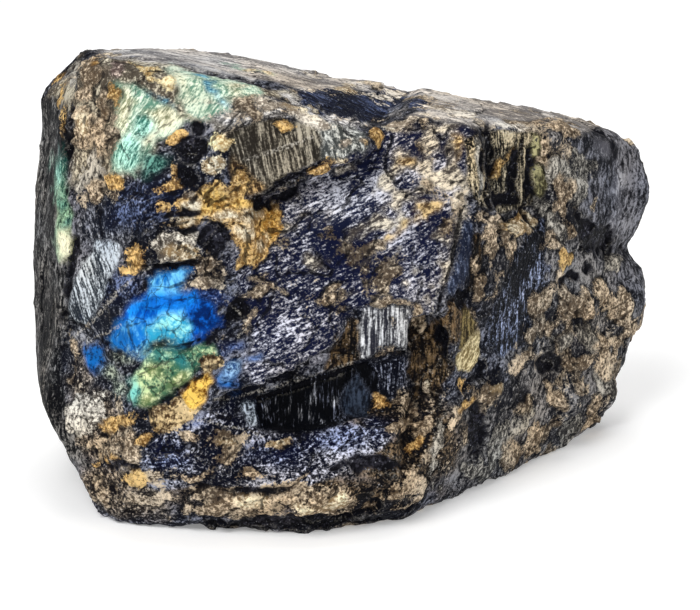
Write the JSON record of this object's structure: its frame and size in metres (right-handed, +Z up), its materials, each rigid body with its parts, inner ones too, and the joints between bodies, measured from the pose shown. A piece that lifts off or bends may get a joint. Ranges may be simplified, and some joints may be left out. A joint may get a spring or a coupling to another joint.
{
  "type": "rough labradorite chunk",
  "caption": "Rough broken chunk of labradorite feldspar with a slab-like front face, a striated ledge, a dark pocket and a flat broken underside to rest on.",
  "frame": {"origin": "on the flat broken underside, below the middle of the stone's bounding box", "axes": "+Z up, +X along the stone's longest extent towards its narrow end, the face with the blue flash towards -Y"},
  "size_m": [0.096, 0.0628, 0.0672],
  "materials": {
    "stone": "broken, with glassy cleavage faces"
  },
  "bodies": {
    "root": {"stone": "stone"}
  },
  "joints": []
}
